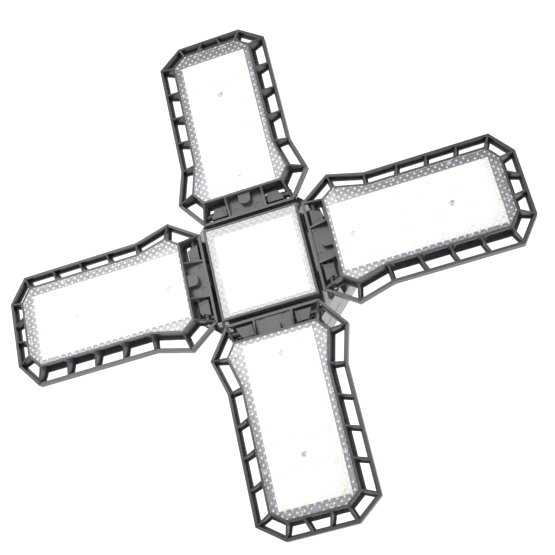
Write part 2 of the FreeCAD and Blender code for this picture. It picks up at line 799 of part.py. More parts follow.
# ---- cover, neck and screw base -------------------------------------------------------------------
COVER_BACK = "(housing_top + cover_thick)"
NECK_TOP = "(0 - base_height)"
BORE = "(shell_radius - shell_wall - 3 * fit_gap - neck_wall)"


def cone(name, wide, narrow, low, high):
    item = doc.addObject("Part::Cone", name)
    bind(item, Radius1=wide, Radius2=narrow, Height=f"({high}) - ({low})", Placement__Base__z=low)
    return item


cover_blank = cut(
    "cover_blank",
    fuse("cover_outside", [
        prism("cover_lid", eight, "housing_top", COVER_BACK),
        cone("neck_outside", "neck_foot_radius", "neck_top_radius", COVER_BACK, NECK_TOP),
        rod("spigot", "shell_radius - shell_wall - fit_gap", NECK_TOP, f"{NECK_TOP} + spigot_height"),
    ]),
    fuse("cover_hollow", [
        cone("neck_inside", "neck_foot_radius - neck_wall", "neck_top_radius - neck_wall",
             "housing_top", f"{NECK_TOP} - neck_wall"),
        rod("neck_bore", BORE, "housing_top - 1", f"{NECK_TOP} + spigot_height + 1"),
    ]),
)
neck_cover = cut("neck_cover", cover_blank, fuse("cover_holes", at_corners(
    lambda word, x, y: rod(f"cover_hole_{word}", "screw_radius + fit_gap", "housing_top - 1",
                           f"{COVER_BACK} + 1", x=x, y=y),
    "cover_boss_out", "cover_boss_out",
)))
cover_screws = gather("cover_screws", at_corners(
    lambda word, x, y: fuse(f"cover_screw_{word}", [
        rod(f"cover_screw_head_{word}", "screw_head_radius", COVER_BACK,
            f"{COVER_BACK} + screw_head_height", x=x, y=y),
        rod(f"cover_screw_shank_{word}", "screw_radius", "housing_top - screw_length", COVER_BACK, x=x, y=y),
    ]),
    "cover_boss_out", "cover_boss_out",
))

SHELL_TOP = "(shell_height - base_height)"


def thread_ring(turn):
    """One turn of the thread, as a ridge that rises and falls evenly."""
    crest = f"{NECK_TOP} + ({turn} + 0.65) * thread_pitch"
    top = "shell_radius + thread_height"
    return [
        cone(f"thread_rise_{turn}", "shell_radius", top, f"{crest} - thread_half_width", crest),
        cone(f"thread_fall_{turn}", top, "shell_radius", crest, f"{crest} + thread_half_width"),
    ]


shell_outside = fuse(
    "shell_outside",
    [rod("shell_tube", "shell_radius", NECK_TOP, SHELL_TOP)]
    + [ridge for turn in range(THREAD_TURNS) for ridge in thread_ring(turn)],
)
screw_shell = cut("screw_shell", shell_outside, rod(
    "shell_bore", "shell_radius - shell_wall", f"{NECK_TOP} - 1", f"{SHELL_TOP} + 1"))
base_insulator = cut(
    "base_insulator",
    fuse("insulator_body", [
        rod("insulator_plug", "shell_radius - shell_wall", f"{SHELL_TOP} - insulator_rise", SHELL_TOP),
        cone("insulator_cone", "shell_radius - shell_wall", "insulator_radius", SHELL_TOP,
             "0 - contact_height"),
    ]),
    rod("insulator_hole", "contact_stem", f"{SHELL_TOP} - 2 * insulator_rise", "1"),
)
contact_button = fuse("contact_button", [
    rod("contact_disc", "contact_radius", "0 - contact_height", "0"),
    rod("contact_rivet", "contact_stem", f"{SHELL_TOP} - insulator_rise - 1", "0 - contact_height / 2"),
])

# ---- driver inside the housing ----------------------------------------------------------------------
driver_board = cut(
    "driver_board",
    block("driver_blank", ("0 - driver_half_x", "driver_half_x"), ("0 - driver_half_y", "driver_half_y"),
          (POST_TOP, f"{POST_TOP} + board_thick")),
    fuse("driver_holes", at_corners(
        lambda word, x, y: rod(f"driver_hole_{word}", "screw_radius + fit_gap", f"{POST_TOP} - 1",
                               f"{POST_TOP} + board_thick + 1", x=x, y=y),
        "driver_post_x", "driver_post_y",
    )),
)
DRIVER_FACE = f"({POST_TOP} + board_thick)"
driver_screws = gather("driver_screws", at_corners(
    lambda word, x, y: fuse(f"driver_screw_{word}", [
        rod(f"driver_screw_head_{word}", "screw_head_radius", DRIVER_FACE,
            f"{DRIVER_FACE} + screw_head_height", x=x, y=y),
        rod(f"driver_screw_shank_{word}", "screw_radius", f"{DRIVER_FACE} - screw_length - 1",
            DRIVER_FACE, x=x, y=y),
    ]),
    "driver_post_x", "driver_post_y",
))
transformer = fuse("transformer", [
    square("coil", "coil_half", DRIVER_FACE, f"{DRIVER_FACE} + coil_height"),
    block("core", ("0 - core_half_x", "core_half_x"), ("0 - core_half_y", "core_half_y"),
          (DRIVER_FACE, f"{DRIVER_FACE} + core_height")),
])
capacitors = gather("capacitors", [
    rod("tall_can", "tall_can_radius", DRIVER_FACE, f"{DRIVER_FACE} + tall_can_height",
        x="coil_half + 2 * tall_can_radius", y="tall_can_radius"),
    rod("low_can", "low_can_radius", DRIVER_FACE, f"{DRIVER_FACE} + low_can_height",
        x="coil_half + 2 * tall_can_radius", y="0 - 1.5 * low_can_radius"),
])
choke = rod("choke", "choke_radius", DRIVER_FACE, f"{DRIVER_FACE} + choke_height",
            x="0 - core_half_x - 1.3 * choke_radius", y="0")

# ---- the named pieces ---------------------------------------------------------------------------------
FIXED = {
    "head_frame": head_frame,
    "head_lens": head_lens,
    "head_heat_sink": head_plate,
    "head_led_board": head_board,
    "head_leds": head_chips,
    "head_board_screw": head_screw,
    "head_frame_screws": frame_screws,
    "housing": housing,
    "neck_cover": neck_cover,
    "cover_screws": cover_screws,
    "driver_board": driver_board,
    "driver_screws": driver_screws,
    "transformer": transformer,
    "capacitors": capacitors,
    "choke": choke,
    "screw_shell": screw_shell,
    "base_insulator": base_insulator,
    "contact_button": contact_button,
}
ON_WINGS = {
    "frame": wing_frame,
    "heat_sink": wing_tray,
    "led_board": wing_board,
    "leds": wing_chips,
    "resistors": wing_resistors,
    "lens": wing_lens,
    "board_screws": wing_screws,
    "hinge_pins": wing_pins,
    "hinge_washers": wing_washers,
}
pieces = {}
for node, form in FIXED.items():
    pieces[node] = gather("node_" + node, [form])
for word, turn in WINGS.items():
    for kind, form in ON_WINGS.items():
        node = f"{word}_{kind}"
        pieces[node] = place_at_hinge(gather("node_" + node, [form]), turn)
for node, item in pieces.items():
    item.Label = node

doc.recompute()
for item in doc.Objects:
    if "Invalid" in item.State:
        raise RuntimeError(f"{item.Name} could not be computed")
for node, item in pieces.items():
    if item.Shape.isNull() or not item.Shape.isValid() or not item.Shape.Solids:
        raise RuntimeError(f"{node} has no valid solid")

os.makedirs("parts", exist_ok=True)
for node, item in pieces.items():
    item.Shape.exportStep(os.path.join("parts", f"{node}.step"))
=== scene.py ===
"""Looks for a ceiling lamp with a square head and four folding wings.

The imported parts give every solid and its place. This script dresses them: it rounds the moulded edges,
computes the prismatic lenses, the light-emitting chips and the screw base's thread, and lights the lamp
in a white studio, seen from below.
"""
import json
import logging
import math
from dataclasses import dataclass, field
from enum import Enum
from typing import Dict, List, Mapping, Optional, Sequence, Tuple

import bmesh
import bpy
import numpy as np
from mathutils import Matrix, Vector


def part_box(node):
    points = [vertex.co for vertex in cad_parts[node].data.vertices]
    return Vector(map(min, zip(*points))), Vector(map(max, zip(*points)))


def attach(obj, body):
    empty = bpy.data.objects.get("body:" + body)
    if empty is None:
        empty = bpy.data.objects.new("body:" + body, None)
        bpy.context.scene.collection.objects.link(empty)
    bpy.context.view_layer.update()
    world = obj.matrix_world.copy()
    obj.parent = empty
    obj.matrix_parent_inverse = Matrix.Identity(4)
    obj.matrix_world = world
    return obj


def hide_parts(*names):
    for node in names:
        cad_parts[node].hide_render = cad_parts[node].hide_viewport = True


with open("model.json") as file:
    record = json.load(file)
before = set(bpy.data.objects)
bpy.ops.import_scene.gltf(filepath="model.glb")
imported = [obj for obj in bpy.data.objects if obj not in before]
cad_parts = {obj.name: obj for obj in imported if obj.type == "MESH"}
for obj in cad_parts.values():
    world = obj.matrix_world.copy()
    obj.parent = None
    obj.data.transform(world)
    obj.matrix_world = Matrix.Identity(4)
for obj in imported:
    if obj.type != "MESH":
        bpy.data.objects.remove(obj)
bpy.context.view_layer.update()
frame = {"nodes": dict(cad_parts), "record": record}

logging.basicConfig(level=logging.INFO, format="%(levelname)s %(name)s: %(message)s")
LOG = logging.getLogger("lamp")

MM = 0.001
Colour = Tuple[float, float, float]
WHITE: Colour = (1.0, 1.0, 1.0)


# ---- shader maths ----------------------------------------------------------------------------------
class Wire:
    """A socket of a node tree that can be added, multiplied and so on like a number."""

    def __init__(self, tree: bpy.types.NodeTree, socket: bpy.types.NodeSocket) -> None:
        self.tree = tree
        self.socket = socket

    def _maths(self, operation: str, *others: object) -> "Wire":
        made = self.tree.nodes.new("ShaderNodeMath")
        made.operation = operation
        for place, value in enumerate((self,) + others):
            feed(self.tree, made.inputs[place], value)
        return Wire(self.tree, made.outputs[0])

    def __add__(self, other: object) -> "Wire":
        return self._maths("ADD", other)

    def __sub__(self, other: object) -> "Wire":
        return self._maths("SUBTRACT", other)

    def __mul__(self, other: object) -> "Wire":
        return self._maths("MULTIPLY", other)

    def smallest(self, other: object) -> "Wire":
        """The smaller of this and another value."""
        return self._maths("MINIMUM", other)

    def largest(self, other: object) -> "Wire":
        """The larger of this and another value."""
        return self._maths("MAXIMUM", other)

    def between(self, low: float, high: float) -> "Wire":
        """Rises from 0 at low to 1 at high, and stays within those limits.

        Args:
            low: The value that gives 0.
            high: The value that gives 1.

        Returns:
            The limited ramp.
        """
        ramp = (self - low) * (1.0 / (high - low))
        return ramp.largest(0.0).smallest(1.0)

    def span(self, low: float, high: float) -> "Wire":
        """Stretches 0 to 1 over low to high."""
        return self * (high - low) + low


def feed(tree: bpy.types.NodeTree, socket: bpy.types.NodeSocket, value: object) -> None:
    """Links a wire to a socket, or sets a constant on it.

    Args:
        tree: The node tree.
        socket: The input to feed.
        value: A wire, a number or a colour.
    """
    if isinstance(value, Wire):
        tree.links.new(value.socket, socket)
    elif isinstance(value, tuple) and len(value) == 3 and socket.type == "RGBA":
        socket.default_value = (*value, 1.0)
    else:
        socket.default_value = value


class Bench:
    """Builds one material's node tree around a Principled shader."""

    def __init__(self, name: str) -> None:
        self.material = bpy.data.materials.new(name)
        self.material.use_nodes = True
        self.tree = self.material.node_tree
        self.shader = self.tree.nodes["Principled BSDF"]

    def node(self, kind: str, output: str, settings: Optional[Mapping[str, object]] = None,
             **inputs: object) -> Wire:
        """Adds a node, sets it up and returns one of its outputs.

        Args:
            kind: The node's type.
            output: The name of the output to return.
            settings: Properties of the node.
            inputs: Values for its inputs, with underscores for spaces.

        Returns:
            The output as a wire.
        """
        made = self.tree.nodes.new(kind)
        for key, value in (settings or {}).items():
            setattr(made, key, value)
        for key, value in inputs.items():
            feed(self.tree, made.inputs[key.replace("_", " ")], value)
        return Wire(self.tree, made.outputs[output])

    def place(self) -> Wire:
        """The object's own coordinates."""
        return self.node("ShaderNodeTexCoord", "Object")

    def height(self) -> Wire:
        """The height in the object's own coordinates."""
        return self.node("ShaderNodeSeparateXYZ", "Z", Vector=self.place())

    def noise(self, scale: float, detail: float = 3.0, roughness: float = 0.55) -> Wire:
        """Cloudy noise between 0 and 1 in the object's coordinates."""
        return self.node("ShaderNodeTexNoise", "Fac", Vector=self.place(), Scale=scale, Detail=detail,
                         Roughness=roughness)

    def attribute(self, name: str) -> Wire:
        """A value stored on the mesh."""
        return self.node("ShaderNodeAttribute", "Fac", {"attribute_name": name})

    def blend(self, amount: object, first: Colour, second: Colour) -> Wire:
        """Mixes two colours by an amount between 0 and 1."""
        made = self.tree.nodes.new("ShaderNodeMix")
        made.data_type = "RGBA"
        feed(self.tree, made.inputs["Factor"], amount)
        feed(self.tree, made.inputs[6], first)
        feed(self.tree, made.inputs[7], second)
        return Wire(self.tree, made.outputs[2])

    def bump(self, height: Wire, strength: float, distance: float) -> Wire:
        """A bumped normal from a height."""
        return self.node("ShaderNodeBump", "Normal", Height=height, Strength=strength,
                         Distance=distance)

    def mirror(self, amount: Wire, roughness: float) -> None:
        """Lays a clear polished face over the surface.

        Args:
            amount: The share of light that the face mirrors.
            roughness: The face's roughness.
        """
        polish = self.tree.nodes.new("ShaderNodeBsdfPrincipled")
        for key, value in (("Base Color", WHITE), ("Metallic", 1.0), ("Roughness", roughness)):
            feed(self.tree, polish.inputs[key], value)
        mix = self.tree.nodes.new("ShaderNodeMixShader")
        self.tree.links.new(self.shader.outputs[0], mix.inputs[1])
        self.tree.links.new(polish.outputs[0], mix.inputs[2])
        feed(self.tree, mix.inputs[0], amount)
        self.tree.links.new(mix.outputs[0], self.tree.nodes["Material Output"].inputs["Surface"])

    def set(self, **values: object) -> None:
        """Feeds the Principled shader's inputs."""
        for key, value in values.items():
            feed(self.tree, self.shader.inputs[key.replace("_", " ")], value)


# ---- finishes --------------------------------------------------------------------------------------
CLOUD_SCALE = 38.0
CLOUD_RAMP = (0.35, 0.7)
GRAIN_STRENGTH = 0.35
COAT_ROUGHNESS = 0.08


@dataclass(frozen=True)
class Finish:
    """How a piece's surface looks.

    Args:
        name: The finish's name.
        slot: The record's material slot.
        base: The base colour.
        shade: A second colour that the base wanders towards.
        roughness: The mean roughness.
        spread: How far the roughness wanders.
        grain: The scale of the fine grain.
        relief: The depth of the grain in metres.
    """

    name: str
    slot: str
    base: Colour
    shade: Colour
    roughness: float = 0.45
    spread: float = 0.08
    grain: float = 900.0
    relief: float = 2e-5

    def build(self) -> bpy.types.Material:
        """Makes the material.

        Returns:
            The Blender material.
        """
        bench = Bench(self.name)
        cloud = bench.noise(CLOUD_SCALE)
        fine = bench.noise(self.grain, detail=2.0)
        bench.set(
            Base_Color=bench.blend(cloud.between(*CLOUD_RAMP), self.base, self.shade),
            Roughness=(cloud * 0.6 + fine * 0.4).span(self.roughness - self.spread,
                                                      self.roughness + self.spread),
            Normal=bench.bump(fine, GRAIN_STRENGTH, self.relief),
        )
        self.finish(bench)
        return bench.material

    def finish(self, bench: Bench) -> None:
        """Adds what is special to one kind of finish."""


@dataclass(frozen=True)
class MetalFinish(Finish):
    """A bare or plated metal."""

    def finish(self, bench: Bench) -> None:
        bench.set(Metallic=1.0)


@dataclass(frozen=True)
class GlossFinish(Finish):
    """A glazed or lacquered surface.

    Args:
        coat: The weight of the glaze.
    """

    coat: float = 0.5

    def finish(self, bench: Bench) -> None:
        bench.set(Coat_Weight=self.coat, Coat_Roughness=COAT_ROUGHNESS)


@dataclass(frozen=True)
class WallFinish(Finish):
    """A moulding with polished walls whose parts below a level are matt.

    Args:
        level: The height at which the polish ends.
        blur: Half the height over which it fades.
    """

    level: float = 0.0
    blur: float = 0.5 * MM

    def finish(self, bench: Bench) -> None:
        polished = bench.height().between(self.level - self.blur, self.level + self.blur)
        bench.set(Coat_Weight=polished, Coat_Roughness=COAT_ROUGHNESS)


@dataclass(frozen=True)
class ChipFinish(Finish):
    """The phosphor of a light-emitting chip in its white cup, told apart by a stored value.

    Args:
        cup: The cup's colour.
        coat: The weight of the clear resin.
        coat_roughness: The resin's roughness.
    """

    cup: Colour = (0.93, 0.93, 0.9)
    coat: float = 0.4
    coat_roughness: float = 0.1

    def finish(self, bench: Bench) -> None:
        lit = bench.attribute("phosphor").between(0.4, 0.6)
        bench.set(Base_Color=bench.blend(lit, self.cup, self.base), Coat_Weight=self.coat,
                  Coat_Roughness=self.coat_roughness)


@dataclass(frozen=True)
class LensFinish(Finish):
    """Clear acrylic with prisms under a flat polished face.

    The prisms' tips are painted white and nearly opaque, a painted highlight that stands in for the
    prisms' glints. The marks of the mould's pins are white too, and so is the plate's outline, a painted
    highlight along its rim. Between the tips the plate is nearly clear. The polished face mirrors the
    surroundings, except along its fine grooves.

    Args:
        clear: The opacity between the tips.
        tip: The opacity of a tip, whose white is a painted highlight.
        tip_ramp: The stored values at which a tip's painted highlight begins and at which it is full.
        mark: The opacity of the mould's pin rings and of the painted highlight along the outline.
        gloss: The share of light that the polished face mirrors.
        gloss_roughness: The polished face's roughness.
        groove: The share of the mirrored light that a groove loses.
        groove_height: The height of the prisms, from 0 to 1, at which a groove ends.
        milk: How far a prism's flanks go from clear towards the white of its tip, a painted highlight
            spread over the flanks.
    """

    clear: float = 0.08
    tip: float = 0.5
    tip_ramp: Tuple[float, float] = (0.2, 0.7)
    mark: float = 0.5
    gloss: float = 0.09
    gloss_roughness: float = 0.3
    groove: float = 0.45
    groove_height: float = 0.22
    milk: float = 0.0

    def finish(self, bench: Bench) -> None:
        # Painted highlights: white, nearly opaque dots at the prisms' tips, the same white over the
        # flanks as far as the flank setting says, and a white line along the plate's outline, which
        # shares its stored value with the real rings of the mould's pins.
        flank = bench.attribute("prism_height").between(0.0, self.groove_height)
        mark = bench.attribute("mould_mark")
        tip = bench.attribute("prism_tip").between(*self.tip_ramp)
        light = tip.largest(flank * self.milk)
        veil = (light * (self.tip - self.clear) + self.clear).largest(mark * self.mark)
        bench.set(Alpha=veil, Base_Color=bench.blend(light.largest(mark), self.shade, self.base))
        bench.mirror(flank.span(1.0 - self.groove, 1.0) * self.gloss, self.gloss_roughness)


FRAME_PLASTIC = Finish("satin charcoal frame plastic", "frame_plastic", (0.025, 0.026, 0.030),
                       (0.033, 0.034, 0.039), 0.33, 0.05)
HOUSING_PLASTIC = WallFinish("polished charcoal housing plastic", "housing_plastic",
                             (0.030, 0.031, 0.035), (0.036, 0.037, 0.041), 0.36, 0.05, level=-86.0 * MM)
CAST_ALUMINIUM = MetalFinish("sand-cast grey aluminium", "cast_aluminium", (0.15, 0.155, 0.165),
                             (0.20, 0.205, 0.215), 0.48, 0.08, 1400.0, 4e-5)
BOARD_WHITE = Finish("white solder-mask board", "board_white", (0.93, 0.93, 0.92), (0.9, 0.9, 0.9), 0.4)
BOARD_GREEN = GlossFinish("green circuit board", "board_green", (0.02, 0.12, 0.05), (0.03, 0.16, 0.07))
PHOSPHOR = ChipFinish("yellow phosphor chip", "led_phosphor", (0.97, 0.90, 0.45),
                      (0.96, 0.88, 0.40), 0.3)
RESISTOR = GlossFinish("glazed resistor", "resistor_body", (0.9, 0.5, 0.33), (0.85, 0.42, 0.26), 0.3)
# The lenses carry painted highlights: white dots at the prisms' tips and a white line along the outline.
LENS = LensFinish("clear prismatic acrylic", "lens_clear", (0.95, 0.95, 0.97), (0.30, 0.30, 0.33), 0.12)
# The head's lens has its prisms' flanks painted white as well, all but the grooves: a painted highlight
# over its face.
PAINTED_HIGHLIGHT_LENS = LensFinish("milky prismatic acrylic", "lens_clear", (0.95, 0.95, 0.97),
                        (0.50, 0.50, 0.53), 0.12, clear=0.14, tip=0.2, milk=0.8)
STEEL = MetalFinish("brushed steel", "steel", (0.42, 0.42, 0.43), (0.5, 0.5, 0.51), 0.32)
NYLON = Finish("black nylon", "washer_nylon", (0.015, 0.015, 0.016), (0.02, 0.02, 0.021), 0.5)
TAPE = Finish("yellow winding tape", "winding_tape", (0.7, 0.5, 0.06), (0.75, 0.55, 0.08), 0.35)
CAN = GlossFinish("sleeved capacitor can", "can_aluminium", (0.01, 0.014, 0.05),
                  (0.012, 0.02, 0.06), 0.3)
FERRITE = Finish("sintered ferrite", "ferrite", (0.02, 0.02, 0.022), (0.03, 0.03, 0.03), 0.7)
NICKEL = MetalFinish("nickel-plated shell", "nickel", (0.62, 0.6, 0.55), (0.7, 0.68, 0.62), 0.22)
BLACK_GLASS = GlossFinish("black glass insulator", "black_glass", (0.008, 0.008, 0.01),
                          (0.01, 0.01, 0.012), 0.15)
BRASS = MetalFinish("solder-tipped brass contact", "brass", (0.5, 0.42, 0.26), (0.6, 0.5, 0.32), 0.3)
FINISHES = (FRAME_PLASTIC, HOUSING_PLASTIC, CAST_ALUMINIUM, BOARD_WHITE, BOARD_GREEN, PHOSPHOR,
            RESISTOR, LENS, STEEL, NYLON, TAPE, CAN, FERRITE, NICKEL, BLACK_GLASS, BRASS)


class Store:
    """Keeps one built material per finish."""

    def __init__(self, finishes: Sequence[Finish]) -> None:
        self.finish_of = {finish.slot: finish for finish in finishes}
        self.built: Dict[str, bpy.types.Material] = {}

    def get(self, finish: Finish) -> bpy.types.Material:
        """Builds the finish's material the first time it is wanted."""
        if finish.name not in self.built:
            self.built[finish.name] = finish.build()
        return self.built[finish.name]


STORE = Store(FINISHES)


# ---- meshes ----------------------------------------------------------------------------------------
MERGE_DISTANCE = 1e-7
PACKED_MERGE_DISTANCE = 1e-6
COPLANAR_ANGLE = 1.0
ALL_SMOOTH = 180.0
USUAL_SMOOTH = 30.0
ROUNDED_SMOOTH = 35.0
THREAD_SMOOTH = 50.0
CHIP_SMOOTH = 25.0


@dataclass
class Skin:
    """A mesh held as arrays.

    Args:
        points: Vertices, one per row.
        faces: Faces as lists of vertex numbers.
        values: Stored values, one number per vertex each.
    """

    points: np.ndarray
    faces: List[Sequence[int]]
    values: Dict[str, np.ndarray] = field(default_factory=dict)

    def moved(self, matrix: Matrix) -> "Skin":
        """The same skin carried by a matrix."""
        turn = np.array(matrix)
        points = self.points @ turn[:3, :3].T + turn[:3, 3]
        return Skin(points, self.faces, self.values)

    @staticmethod
    def joined(skins: Sequence["Skin"]) -> "Skin":
        """Several skins as one."""
        points: List[np.ndarray] = []
        faces: List[Sequence[int]] = []
        values: Dict[str, List[np.ndarray]] = {}
        start = 0
        for skin in skins:
            points.append(skin.points)
            faces.extend([tuple(start + k for k in face) for face in skin.faces])
            for name, stored in skin.values.items():
                values.setdefault(name, []).append(stored)
            start += len(skin.points)
        stored_values = {name: np.concatenate(rows) for name, rows in values.items()}
        return Skin(np.vstack(points), faces, stored_values)

    def as_object(self, name: str, finish: Finish, body: str, stands_for: Sequence[str] = (),
                  smooth: float = USUAL_SMOOTH) -> bpy.types.Object:
        """Makes the Blender object, gives it its finish and lets it ride on a body.

        Args:
            name: The object's name.
            finish: Its finish.
            body: The moving body that it belongs to.
            stands_for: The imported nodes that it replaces.
            smooth: Edges sharper than this many degrees stay sharp.

        Returns:
            The object.
        """
        mesh = bpy.data.meshes.new(name)
        mesh.from_pydata(self.points.tolist(), [], self.faces)
        for key, stored in self.values.items():
            layer = mesh.attributes.new(key, "FLOAT", "POINT")
            layer.data.foreach_set("value", stored.astype(np.float32))
        mesh.validate()
        made = bpy.data.objects.new(name, mesh)
        bpy.context.scene.collection.objects.link(made)
        weld(mesh)
        return dress(made, finish, body, stands_for, smooth)


def weld(mesh: bpy.types.Mesh) -> None:
    """Merges doubled vertices and turns every face outwards."""
    shape = bmesh.new()
    shape.from_mesh(mesh)
    bmesh.ops.remove_doubles(shape, verts=shape.verts, dist=MERGE_DISTANCE)
    bmesh.ops.dissolve_degenerate(shape, edges=shape.edges, dist=MERGE_DISTANCE)
    bmesh.ops.recalc_face_normals(shape, faces=shape.faces)
    shape.to_mesh(mesh)
    shape.free()


def dress(made: bpy.types.Object, finish: Finish, body: str, stands_for: Sequence[str],
          smooth: float) -> bpy.types.Object:
    """Finishes an object and ties it to its body and to the nodes it stands for.

    Args:
        made: The object.
        finish: Its finish.
        body: The moving body that it belongs to.
        stands_for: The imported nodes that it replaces.
        smooth: Edges sharper than this many degrees stay sharp.

    Returns:
        The same object.
    """
    made.data.materials.clear()
    made.data.materials.append(STORE.get(finish))
    made.data.polygons.foreach_set("use_smooth", [True] * len(made.data.polygons))
    made.data.set_sharp_from_angle(angle=math.radians(smooth))
    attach(made, body)
    if stands_for:
        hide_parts(*stands_for)
    return made


def rounded_copy(node: str, finish: Finish, body: str, radius: float,
                 segments: int = 2) -> bpy.types.Object:
    """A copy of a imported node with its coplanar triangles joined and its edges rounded.

    Args:
        node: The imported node.
        finish: Its finish.
        body: The moving body that it belongs to.
        radius: The rounding in metres.
        segments: The number of faces across each rounding.

    Returns:
        The new object, which replaces the node.
    """
    mesh = frame["nodes"][node].data.copy()
    mesh.name = node + " rounded"
    shape = bmesh.new()
    shape.from_mesh(mesh)
    bmesh.ops.remove_doubles(shape, verts=shape.verts, dist=PACKED_MERGE_DISTANCE)
    bmesh.ops.dissolve_limit(shape, angle_limit=math.radians(COPLANAR_ANGLE), verts=shape.verts,
                             edges=shape.edges)
    bmesh.ops.recalc_face_normals(shape, faces=shape.faces)
    shape.to_mesh(mesh)
    shape.free()
    made = bpy.data.objects.new(node + "_skin", mesh)
    bpy.context.scene.collection.objects.link(made)
    dress(made, finish, body, (node,), ROUNDED_SMOOTH)
    bevel = made.modifiers.new("round edges", "BEVEL")
    bevel.width = radius
    bevel.segments = segments
    bevel.limit_method = "ANGLE"
    bevel.angle_limit = math.radians(ROUNDED_SMOOTH)
    bevel.use_clamp_overlap = True
    bevel.harden_normals = False
    even = made.modifiers.new("even shading", "WEIGHTED_NORMAL")
    even.keep_sharp = True
    return made


def ring_faces(rows: int, steps: int) -> List[Tuple[int, int, int, int]]:
    """The quads of a grid that closes on itself sideways.

    Args:
        rows: The number of rows.
        steps: The number of points in a row.

    Returns:
        The quads, as vertex numbers.
    """
    i, j = np.meshgrid(np.arange(rows - 1), np.arange(steps), indexing="ij")
    after = (j + 1) % steps
    corners = [i * steps + j, i * steps + after, (i + 1) * steps + after, (i + 1) * steps + j]
    return [tuple(row) for row in np.stack(corners, axis=2).reshape(-1, 4).tolist()]


# ---- where things are ------------------------------------------------------------------------------
class Side(Enum):
    """The four wings, each with the turn of its hinge about the lamp's axis."""

    RIGHT = 0
    REAR = 90
    LEFT = 180
    FRONT = 270

    @property
    def word(self) -> str:
        """The wing's name in lower case."""
        return self.name.lower()

    @property
    def body(self) -> str:
        """The moving body's name."""
        return f"{self.word}_wing"

    @property
    def matrix(self) -> Matrix:
        """Carries a wing's own frame to the lamp's frame."""
        turn = Matrix.Rotation(math.radians(self.value), 4, "Z")
        return turn @ Matrix.Translation((HINGE_OUT, 0.0, HINGE_HEIGHT))


ROOT = "lamp_body"
HINGE_OUT = 47.0 * MM
HINGE_HEIGHT = -91.5 * MM
LENS_PLANE = -97.0 * MM


@dataclass(frozen=True)
class LensPlan:
    """The outline of a lens, in millimetres.

    Args:
        stations: Places along X where the outline turns.
        halves: The half width at each station.
        front: The height of the polished face.
        back: The height of the plain back.
    """

    stations: Tuple[float, ...]
    halves: Tuple[float, ...]
    front: float
    back: float

    def half_at(self, x: np.ndarray) -> np.ndarray:
        """Half widths at positions along X."""
        return np.interp(x, self.stations, self.halves)


PLAIN_HEIGHT = 0.3
RING_HALF_WIDTH = 0.5
TOUCH = 1e-6
PIN_RADIUS, GATE_RADIUS = 1.4, 2.3
WING_RINGS = tuple(
    (x, side * y, PIN_RADIUS) for x, y in ((22.9, 34.0), (59.4, 28.7), (101.0, 28.0), (133.0, 10.5))
    for side in (-1, 1)
) + ((40.7, 0.0, GATE_RADIUS), (113.6, 0.0, GATE_RADIUS))
WING_WINDOWS = ((117.5, 28.3, 7.5, 5.0), (117.5, -28.3, 7.5, 5.0), (133.0, 0.0, 3.6, 5.0))
WING_LENS = LensPlan((9.45, 18.03, 40.97, 127.37, 134.55), (29.44, 35.71, 30.05, 30.05, 20.36),
                     -10.2, -8.4)
HEAD_LENS = LensPlan((-34.35, 34.35), (34.35, 34.35), 0.0, 1.7)


@dataclass(frozen=True)
class Lattice:
    """The diamond pattern of prisms moulded into a lens.

    Args:
        diagonal: The diamond's diagonal along X and Y.
        depth: How far the grooves are sunk.
        step: The spacing of the computed points.
        tip_radius: The radius of the painted highlight at a prism's tip.
    """

    diagonal: float = 5.07
    depth: float = 0.02
    step: float = 0.4225
    tip_radius: float = 1.3

    def heights(self, x: np.ndarray, y: np.ndarray) -> np.ndarray:
        """Works out the prisms.

        Two families of grooves run at 45 degrees. The distance from a point to the nearest groove of
        the first family is |((x + y) / d + 1/2) mod 1 - 1/2| times d / sqrt 2, and likewise with x - y
        for the second. The surface rises evenly from a groove to the middle of its diamond, so its
        height follows the smaller of the two distances.

        Args:
            x: Positions along X.
            y: Positions along Y.

        Returns:
            Heights from 0 in a groove to 1 on a tip.
        """
        scale = self.diagonal / math.sqrt(2.0)
        first = np.abs(np.mod((x + y) / self.diagonal + 0.5, 1.0) - 0.5) * scale
        second = np.abs(np.mod((x - y) / self.diagonal + 0.5, 1.0) - 0.5) * scale
        return np.minimum(first, second) / (scale / 2.0)

    def tips(self, x: np.ndarray, y: np.ndarray) -> np.ndarray:
        """Works out the round tips of the prisms, where the lens finish paints its highlight dots.

        With a = (x + y) / d and b = (x - y) / d, a tip lies where both are a whole number and a half.
        The distance to the nearest one is d times the square root of half of da squared plus db
        squared, where da and db are the distances of a and b from those numbers.

        Args:
            x: Positions along X.
            y: Positions along Y.

        Returns:
            Values from 0 at the tip's edge, or outside it, to 1 on its middle.
        """
        first = np.mod((x + y) / self.diagonal, 1.0) - 0.5
        second = np.mod((x - y) / self.diagonal, 1.0) - 0.5
        away = self.diagonal * np.sqrt((first ** 2 + second ** 2) / 2.0)
        return np.clip(1.0 - away / self.tip_radius, 0.0, 1.0)


